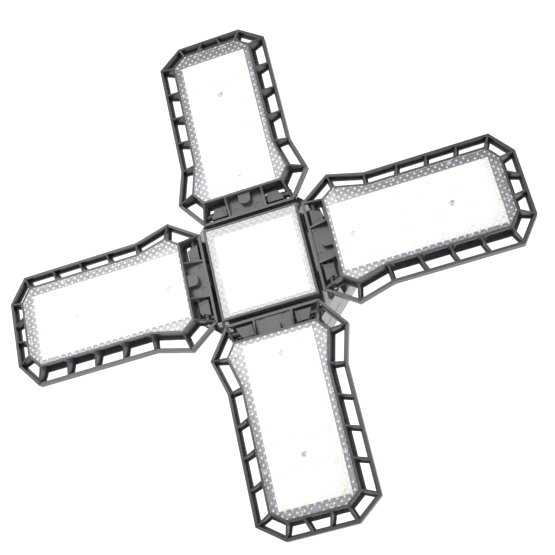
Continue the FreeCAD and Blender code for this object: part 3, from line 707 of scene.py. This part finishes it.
@dataclass(frozen=True)
class Lens:
    """A prismatic lens plate, computed as one closed skin.

    Args:
        plan: The plate's outline and faces.
        lattice: Its prisms.
        windows: Plain places, each with its middle and its lengths along X and Y.
        rings: Mould marks, each with its middle and its radius.
    """

    plan: LensPlan
    lattice: Lattice
    windows: Sequence[Tuple[float, float, float, float]] = ()
    rings: Sequence[Tuple[float, float, float]] = ()

    def skin(self) -> Skin:
        """Computes the plate: a fine grid in front, and a plain back joined by its rim.

        Rows run along X at the lattice's step, with a row at each station of the outline. Along Y the
        grid's even positions are held within the outline's half width, so its outermost points lie on
        the outline itself. Points that fall together there are merged afterwards.

        Returns:
            The skin in the plan's own frame, in metres.
        """
        rows, x, y = self._grid()
        half = self.plan.half_at(rows)
        plain = self._flat(x, y)
        height = np.where(plain, PLAIN_HEIGHT, self.lattice.heights(x, y))
        # Stored for the painted highlight dots at the prisms' tips.
        tips = np.where(plain, 0.0, self.lattice.tips(x, y))
        # The real rings of the mould's pins and the painted highlight along the outline share one stored
        # value.
        marks = np.maximum(self._ring(x, y), self._edge(x, y, half[:, None]))
        toward = 1.0 if self.plan.back > self.plan.front else -1.0
        z = self.plan.front + toward * self.lattice.depth * (1.0 - height)
        front = np.stack([x, y, z], axis=2).reshape(-1, 3)
        back = np.full(len(rows), self.plan.back)
        sides = [np.stack([rows, sign * half, back], axis=1) for sign in (-1.0, 1.0)]
        spare = np.zeros(2 * len(rows))
        grids = {"prism_height": height, "prism_tip": tips, "mould_mark": marks}
        values = {key: np.concatenate([grid.reshape(-1), spare]) for key, grid in grids.items()}
        return Skin(np.vstack([front, *sides]) * MM, self._faces(y), values)

    def _grid(self) -> Tuple[np.ndarray, np.ndarray, np.ndarray]:
        """The rows along X, and the grid's X and Y positions."""
        step = self.lattice.step
        first, last = self.plan.stations[0], self.plan.stations[-1]
        even = np.arange(math.ceil(first / step), math.floor(last / step) + 1) * step
        rows = np.unique(np.round(np.concatenate([even, np.array(self.plan.stations)]), 4))
        count = math.ceil(max(self.plan.halves) / step)
        across = np.arange(-count, count + 1) * step
        half = self.plan.half_at(rows)[:, None]
        x = np.repeat(rows[:, None], len(across), axis=1)
        return rows, x, np.clip(across[None, :], -half, half)

    @staticmethod
    def _faces(y: np.ndarray) -> List[Tuple[int, ...]]:
        """Joins the grid, the two rows of back points after it, and the rim between them.

        Args:
            y: The grid's Y positions. A quad whose points fall together on the outline is left out.

        Returns:
            The faces, as vertex numbers.
        """
        count, wide = y.shape
        i, j = np.meshgrid(np.arange(count - 1), np.arange(wide - 1), indexing="ij")
        corners = [i * wide + j, i * wide + j + 1, (i + 1) * wide + j + 1, (i + 1) * wide + j]
        quads = np.stack(corners, axis=2).reshape(-1, 4)
        span = y.reshape(-1)
        reach = span[quads]
        real = np.abs(reach[:, 1] - reach[:, 0]) + np.abs(reach[:, 2] - reach[:, 3])
        k = np.arange(count - 1)
        low, high = y.size + k, y.size + count + k
        start, end = k * wide, k * wide + wide - 1
        back = np.stack([low, low + 1, high + 1, high], axis=1)
        left = np.stack([start, start + wide, low + 1, low], axis=1)
        right = np.stack([end, high, high + 1, end + wide], axis=1)
        faces = [tuple(face) for face in np.vstack([quads[real > TOUCH], back, left, right]).tolist()]
        for row in (0, count - 1):
            edge = list(range(row * wide, (row + 1) * wide))
            kept = [edge[0]] + [v for v, w in zip(edge[1:], edge) if abs(span[v] - span[w]) > TOUCH]
            faces.append(tuple(kept + [y.size + count + row, y.size + row]))
        return faces

    def _edge(self, x: np.ndarray, y: np.ndarray, half: np.ndarray) -> np.ndarray:
        """1 on the plate's outline, where a painted highlight goes, and 0 inside it."""
        first, last = self.plan.stations[0], self.plan.stations[-1]
        outline = (np.abs(y) > half - TOUCH) | (x < first + TOUCH) | (x > last - TOUCH)
        return np.where(outline, 1.0, 0.0)

    def _flat(self, x: np.ndarray, y: np.ndarray) -> np.ndarray:
        """Where the plate is left plain, beside its snaps."""
        plain = np.zeros(x.shape, bool)
        for x_mid, y_mid, along, over in self.windows:
            plain |= (np.abs(x - x_mid) < along / 2) & (np.abs(y - y_mid) < over / 2)
        return plain

    def _ring(self, x: np.ndarray, y: np.ndarray) -> np.ndarray:
        """The round marks that the mould's pins leave."""
        marks = np.zeros(x.shape)
        for x_mid, y_mid, radius in self.rings:
            away = np.abs(np.hypot(x - x_mid, y - y_mid) - radius)
            marks = np.maximum(marks, np.clip(1.0 - away / RING_HALF_WIDTH, 0.0, 1.0))
        return marks


# ---- sub-assemblies --------------------------------------------------------------------------------
@dataclass(frozen=True)
class EarCheek:
    """Fills a hinge ear out to its straight inner side, next to the wing's rib.

    Args:
        profile: The ear's side outline, as pairs of X and Z in the wing's frame, in millimetres.
        inner: The distance of the straight side from the wing's middle.
        foot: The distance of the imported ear's slanted side at the profile's first point.
        lean: How much farther out that side lies for each millimetre along X.
        overlap: How far the cheek reaches into the ear.
        bore: The radius of the hole round the hinge pin, which the ear's boss fills.
        cuts: The number of pieces that each side of the outline is cut in.
    """

    profile: Tuple[Tuple[float, float], ...] = (
        (-8.6, 7.0), (-4.6, 2.6), (-3.6, -3.2), (4.2, -3.2), (4.2, 2.0), (-8.6, 13.8),
    )
    inner: float = 16.0
    foot: float = 15.7
    lean: float = 0.265
    overlap: float = 0.3
    bore: float = 2.3
    cuts: int = 4

    def skin(self, sign: float) -> Skin:
        """Computes one cheek.

        The outer side at X lies at foot + lean times the distance from the profile's first point,
        plus the overlap. A point of the hole lies in the direction of its point of the outline, at
        the bore's radius from the pin.

        Args:
            sign: 1 for the ear on the +Y side, -1 for the other.

        Returns:
            The cheek in the wing's frame, in metres.
        """
        corners = np.array(self.profile)
        share = np.arange(self.cuts)[None, :, None] / self.cuts
        after = np.roll(corners, -1, axis=0)
        rim = (corners[:, None] * (1.0 - share) + after[:, None] * share).reshape(-1, 2)
        hole = rim / np.linalg.norm(rim, axis=1, keepdims=True) * self.bore
        plan = np.stack([rim, rim, hole, hole])
        slant = self.foot + self.lean * (plan[..., 0] - corners[0, 0]) + self.overlap
        side = np.maximum(slant, self.inner + self.overlap)
        side[[0, 3]] = self.inner
        points = np.stack([plan[..., 0], sign * side, plan[..., 1]], axis=2).reshape(-1, 3)
        faces = [tuple(corner % len(points) for corner in face) for face in ring_faces(5, len(rim))]
        return Skin(points * MM, faces)

    def build(self) -> None:
        """Adds the eight cheeks to the housing."""
        cheeks = [self.skin(sign).moved(side.matrix) for side in Side for sign in (1.0, -1.0)]
        Skin.joined(cheeks).as_object("ear_cheeks", HOUSING_PLASTIC, ROOT)


CHIP_HALF_SIZES = (1.75, 1.4)


def chip_skin(centre: Vector) -> Skin:
    """One light-emitting chip: a white cup with a sunken, gently domed window of phosphor.

    Each level gives the shares of the chip's half sizes, a height in millimetres, and 1 for phosphor.

    Args:
        centre: The middle of the chip's seat, in a frame where the chip looks towards -Z.

    Returns:
        The chip, in metres, with the phosphor marked.
    """
    levels = (
        (1.0, 1.0, 0.0, 0.0), (1.0, 1.0, -0.74, 0.0), (0.96, 0.95, -0.8, 0.0), (0.84, 0.8, -0.8, 0.0),
        (0.8, 0.76, -0.7, 1.0), (0.45, 0.42, -0.76, 1.0), (0.0, 0.0, -0.78, 1.0),
    )
    wide, tall, z, lit = np.repeat(np.array(levels), 4, axis=0).T
    corners = np.tile(np.array([(1, 1), (-1, 1), (-1, -1), (1, -1)], float), (len(levels), 1))
    half_x, half_y = CHIP_HALF_SIZES
    points = np.column_stack([corners[:, 0] * half_x * wide, corners[:, 1] * half_y * tall, z])
    faces: List[Sequence[int]] = list(ring_faces(len(levels), 4))
    faces.append((0, 1, 2, 3))
    return Skin(points * MM + np.array(centre), faces, {"phosphor": lit})


@dataclass(frozen=True)
class CrossScrew:
    """A pan head with a cross recess, looking towards -Z, its bearing face at 0.

    Args:
        radius: The head's radius R in metres.
        height: Its height h in metres.
        fall: How much the dome falls towards its edge.
        arm: Half the width of a recess's arm, as a share of R.
        reach: The recess's radius, as a share of R.
        depth: The recess's depth, as a share of h.
        arm_slope: The width over which an arm's wall slopes, as a share of R.
        end_slope: The same for the arms' ends.
        rings: The number of rings from the middle to the edge.
        steps: The number of steps round.
    """

    radius: float = 2.1 * MM
    height: float = 1.5 * MM
    fall: float = 0.75
    arm: float = 0.13
    reach: float = 0.55
    depth: float = 0.55
    arm_slope: float = 0.05
    end_slope: float = 0.08
    rings: int = 26
    steps: int = 72

    def skin(self) -> Skin:
        """Computes the head.

        The head's height over radius r is h times the square root of 1 - fall (r / R) squared. The
        recess sinks where the smaller of |x| and |y| is under an arm's half width and r is under its
        reach.

        Returns:
            The head's skin.
        """
        rings = np.concatenate([np.linspace(0.0, 1.0, self.rings), [1.0]])
        angles = np.arange(self.steps) * 2 * np.pi / self.steps
        r, a = np.meshgrid(rings, angles, indexing="ij")
        x, y = r * np.cos(a), r * np.sin(a)
        dome = np.sqrt(1.0 - self.fall * r ** 2)
        across = np.clip((self.arm - np.minimum(np.abs(x), np.abs(y))) / self.arm_slope, 0.0, 1.0)
        inside = np.clip((self.reach - r) / self.end_slope, 0.0, 1.0)
        z = -(dome - self.depth * across * inside)
        z[-1, :] = 0.0
        points = np.stack([x * self.radius, y * self.radius, z * self.height], axis=2).reshape(-1, 3)
        faces: List[Sequence[int]] = list(ring_faces(len(rings), self.steps))
        faces.append(tuple(range((len(rings) - 1) * self.steps, len(rings) * self.steps)))
        return Skin(points, faces)


def node_box(node: str) -> Tuple[np.ndarray, np.ndarray]:
    """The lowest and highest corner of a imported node."""
    low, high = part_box(node)
    return np.array(low), np.array(high)


CHIP_ROWS, CHIP_COLUMNS = 6, 4
FIRST_CHIP_ROW, CHIP_ROW_PITCH, CHIP_COLUMN_PITCH = 18.5, 21.5, 13.0
WING_BOARD_FACE = -5.5
WING_SCREWS_OUT = (23.0, 95.2)
FRAME_EDGE, TRAY_EDGE, HEAD_EDGE, HOUSING_EDGE, COVER_EDGE = 0.22, 0.18, 0.25, 0.4, 0.5


def chip_columns() -> np.ndarray:
    """The places of the columns of chips to both sides of the middle, in metres."""
    return (np.arange(CHIP_COLUMNS) - (CHIP_COLUMNS - 1) / 2) * CHIP_COLUMN_PITCH * MM


@dataclass(frozen=True)
class Wing:
    """One folding wing with everything that moves with it.

    Args:
        side: The wing's place round the head.
        lens: Its lens.
    """

    side: Side
    lens: Lens

    def build(self) -> None:
        """Dresses the wing's nodes and replaces those that need finer forms."""
        word, body, place = self.side.word, self.side.body, self.side.matrix
        rounded_copy(f"{word}_frame", FRAME_PLASTIC, body, FRAME_EDGE * MM)
        rounded_copy(f"{word}_heat_sink", CAST_ALUMINIUM, body, TRAY_EDGE * MM)
        plate = self.lens.skin().moved(place)
        plate.as_object(f"{word}_lens_skin", LENS, body, (f"{word}_lens",), ALL_SMOOTH)
        rows = (np.arange(CHIP_ROWS) * CHIP_ROW_PITCH + FIRST_CHIP_ROW) * MM
        seat = WING_BOARD_FACE * MM
        chips = Skin.joined([chip_skin(Vector((x, y, seat))) for x in rows for y in chip_columns()])
        chips.moved(place).as_object(f"{word}_chips", PHOSPHOR, body, (f"{word}_leds",), CHIP_SMOOTH)
        spots = [Matrix.Translation((x * MM, 0.0, seat)) for x in WING_SCREWS_OUT]
        heads = Skin.joined([CrossScrew().skin().moved(spot) for spot in spots]).moved(place)
        heads.as_object(f"{word}_screw_heads", STEEL, body, (f"{word}_board_screws",))


@dataclass(frozen=True)
class Head:
    """The square head in the middle.

    Args:
        lens: Its lens.
    """

    lens: Lens

    def build(self) -> None:
        """Dresses the head's nodes."""
        rounded_copy("head_frame", FRAME_PLASTIC, ROOT, HEAD_EDGE * MM)
        plate = self.lens.skin().moved(Matrix.Translation((0.0, 0.0, LENS_PLANE)))
        plate.as_object("head_lens_skin", PAINTED_HIGHLIGHT_LENS, ROOT, ("head_lens",), ALL_SMOOTH)
        seat = node_box("head_leds")[1][2]
        places = chip_columns()
        chips = Skin.joined([chip_skin(Vector((x, y, seat))) for x in places for y in places])
        chips.as_object("head_chips", PHOSPHOR, ROOT, ("head_leds",), CHIP_SMOOTH)
        board = node_box("head_led_board")[0][2]
        head = CrossScrew().skin().moved(Matrix.Translation((0.0, 0.0, board)))
        head.as_object("head_screw_head", STEEL, ROOT, ("head_board_screw",))


@dataclass(frozen=True)
class ScrewBase:
    """The threaded shell that goes into the lampholder.

    Args:
        radius: The radius R over the thread.
        low: The height of the shell's lower end.
        high: The height of its upper end.
        pitch: The thread's pitch.
        sink: The thread's depth s.
        wall: The distance from R to the shell's inner face.
        run_out: The height over which the thread fades at each end.
        steps: The number of steps round.
        rows: The number of rows along the thread.
    """

    radius: float = 13.0 * MM
    low: float = -26.0 * MM
    high: float = -5.4 * MM
    pitch: float = 3.63 * MM
    sink: float = 0.75 * MM
    wall: float = 1.1 * MM
    run_out: float = 1.5 * MM
    steps: int = 120
    rows: int = 110

    def build(self) -> None:
        """Computes the shell.

        The radius at angle a and height z is R - s (1 - cos p) / 2, where p is 2 pi z / pitch - a, so
        the wave climbs one pitch per turn. The wave fades out at both ends.
        """
        z = np.linspace(self.low, self.high, self.rows)[:, None]
        a = (np.arange(self.steps) * 2 * np.pi / self.steps)[None, :]
        phase = 2 * np.pi * z / self.pitch - a
        fade = (np.clip((z - self.low) / self.run_out, 0, 1)
                * np.clip((self.high - z) / self.run_out, 0, 1))
        r = self.radius - self.sink + fade * self.sink * (1 + np.cos(phase)) / 2
        outside = np.stack([r * np.cos(a), r * np.sin(a), np.repeat(z, self.steps, axis=1)], axis=2)
        below, inside = self._bore(a[0], self.low), self._bore(a[0], self.high)
        shell = Skin(np.vstack([below, outside.reshape(-1, 3), inside, below]),
                     ring_faces(self.rows + 3, self.steps))
        shell.as_object("thread_skin", NICKEL, ROOT, ("screw_shell",), THREAD_SMOOTH)

    def _bore(self, angles: np.ndarray, level: float) -> np.ndarray:
        """A ring of points on the shell's inner face."""
        inner = self.radius - self.wall
        x, y = inner * np.cos(angles), inner * np.sin(angles)
        return np.column_stack([x, y, np.full(self.steps, level)])


# ---- studio ----------------------------------------------------------------------------------------
@dataclass(frozen=True)
class Softbox:
    """A soft rectangular light.

    Args:
        name: The light's name.
        centre: Its middle.
        aim: The point that it faces.
        width: Its width.
        height: Its height.
        power: Its power in watts.
    """

    name: str
    centre: Tuple[float, float, float]
    aim: Tuple[float, float, float]
    width: float
    height: float
    power: float

    def build(self) -> None:
        """Adds the light."""
        data = bpy.data.lights.new(self.name, "AREA")
        data.shape = "RECTANGLE"
        data.size, data.size_y, data.energy = self.width, self.height, self.power
        lamp = bpy.data.objects.new(self.name, data)
        lamp.location = self.centre
        way = Vector(self.aim) - Vector(self.centre)
        lamp.rotation_mode = "QUATERNION"
        lamp.rotation_quaternion = way.to_track_quat("-Z", "Y")
        bpy.context.scene.collection.objects.link(lamp)


@dataclass(frozen=True)
class PhotoCamera:
    """The camera that took the photo, as the fit of the wings' corners gave it.

    Args:
        spot: The camera's place.
        right: The direction of the picture's right.
        up: The direction of its top.
        lens_angle: The picture's width as an angle.
    """

    spot: Tuple[float, float, float]
    right: Tuple[float, float, float]
    up: Tuple[float, float, float]
    lens_angle: float

    def build(self) -> None:
        """Adds the camera and makes it the scene's own."""
        data = bpy.data.cameras.new("photo camera")
        data.sensor_fit = "HORIZONTAL"
        data.angle = self.lens_angle
        data.clip_start, data.clip_end = 0.01, 20.0
        eye = bpy.data.objects.new("photo camera", data)
        right, up = Vector(self.right).normalized(), Vector(self.up).normalized()
        back = right.cross(up)
        turn = Matrix((right, up, back)).transposed().to_4x4()
        eye.matrix_world = Matrix.Translation(self.spot) @ turn
        bpy.context.scene.collection.objects.link(eye)
        bpy.context.scene.camera = eye


KEY_LIGHT = Softbox("key softbox", (1.3, 0.75, -0.35), (0.0, 0.0, -0.09), 0.6, 0.6, 34.0)
VEIL_LIGHT = Softbox("veil softbox", (-0.235, -0.239, -0.729), (-0.235, -0.239, 0.0), 0.55, 0.40, 3.2)


@dataclass(frozen=True)
class Studio:
    """White surroundings, a pale floor far below and soft lights.

    Args:
        brightness: The strength of the white surroundings.
        lights: The softboxes. The lenses mirror the second one, which gives their haze near the head.
        floor_reach: Half the floor's width.
        floor_level: The floor's height.
    """

    brightness: float = 1.25
    lights: Tuple[Softbox, ...] = (KEY_LIGHT, VEIL_LIGHT)
    floor_reach: float = 6.0
    floor_level: float = -2.2

    def build(self) -> None:
        """Sets up the world, the floor and the lights."""
        scene = bpy.context.scene
        world = bpy.data.worlds.new("white studio")
        world.use_nodes = True
        sky = world.node_tree.nodes["Background"]
        sky.inputs["Color"].default_value = (*WHITE, 1.0)
        sky.inputs["Strength"].default_value = self.brightness
        scene.world = world
        scene.view_settings.view_transform = "Standard"
        scene.view_settings.look = "None"
        self._floor()
        for light in self.lights:
            light.build()

    def _floor(self) -> None:
        """A pale floor, well below the lamp."""
        mesh = bpy.data.meshes.new("floor")
        reach, level = self.floor_reach, self.floor_level
        mesh.from_pydata([(-reach, -reach, level), (reach, -reach, level), (reach, reach, level),
                          (-reach, reach, level)], [], [(0, 1, 2, 3)])
        floor = bpy.data.objects.new("floor", mesh)
        pale = Finish("pale floor", "floor", (0.8, 0.8, 0.8), (0.82, 0.82, 0.82), 0.7)
        mesh.materials.append(pale.build())
        bpy.context.scene.collection.objects.link(floor)


FIT_TURNS = (-0.3662, -0.1477, 0.2905)
FIT_SHIFT = (-12.951, 11.767, 0.0)
FIT_DISTANCE = 692.06
FOCAL_LENGTH, PICTURE_HALF = 962.68, 277.5


def camera_axes() -> Tuple[Tuple[float, ...], Tuple[float, ...], Tuple[float, ...]]:
    """Works out the photo camera's place and axes.

    The fit gives three turns of the lamp as the camera sees it: about X, then Y, then Z. It was made in
    a frame with Y towards the photo's top and Z towards the viewer, so Y and Z change sign here.

    Returns:
        The camera's spot, its right and its up direction in the lamp's frame.
    """
    about_x, about_y, about_z = FIT_TURNS
    turn = (Matrix.Rotation(about_z, 3, "Z") @ Matrix.Rotation(about_y, 3, "Y")
            @ Matrix.Rotation(about_x, 3, "X"))
    spot = turn.transposed() @ (Vector((0.0, 0.0, FIT_DISTANCE)) - Vector(FIT_SHIFT))
    right = turn.transposed() @ Vector((1.0, 0.0, 0.0))
    up = turn.transposed() @ Vector((0.0, 1.0, 0.0))
    place = (spot.x * MM, -spot.y * MM, -spot.z * MM + LENS_PLANE)
    return place, (right.x, -right.y, -right.z), (up.x, -up.y, -up.z)


def dress_plain_nodes() -> None:
    """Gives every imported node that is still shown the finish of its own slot."""
    slots = {part["node"]: part["material_slot"] for part in frame["record"]["subparts"]}
    for node, thing in frame["nodes"].items():
        finish = STORE.finish_of[slots[node]]
        thing.data.materials.clear()
        thing.data.materials.append(STORE.get(finish))
        thing.data.polygons.foreach_set("use_smooth", [True] * len(thing.data.polygons))
        thing.data.set_sharp_from_angle(angle=math.radians(USUAL_SMOOTH))


def main() -> None:
    """Builds the looks, the studio and the camera."""
    dress_plain_nodes()
    wing_lens = Lens(WING_LENS, Lattice(), WING_WINDOWS, WING_RINGS)
    for side in Side:
        Wing(side, wing_lens).build()
        LOG.info("dressed the %s wing", side.word)
    Head(Lens(HEAD_LENS, Lattice(diagonal=5.25, step=0.4375))).build()
    EarCheek().build()
    ScrewBase().build()
    rounded_copy("housing", HOUSING_PLASTIC, ROOT, HOUSING_EDGE * MM)
    rounded_copy("neck_cover", HOUSING_PLASTIC, ROOT, COVER_EDGE * MM)
    Studio().build()
    PhotoCamera(*camera_axes(), lens_angle=2.0 * math.atan(PICTURE_HALF / FOCAL_LENGTH)).build()


if __name__ == "__main__":
    main()
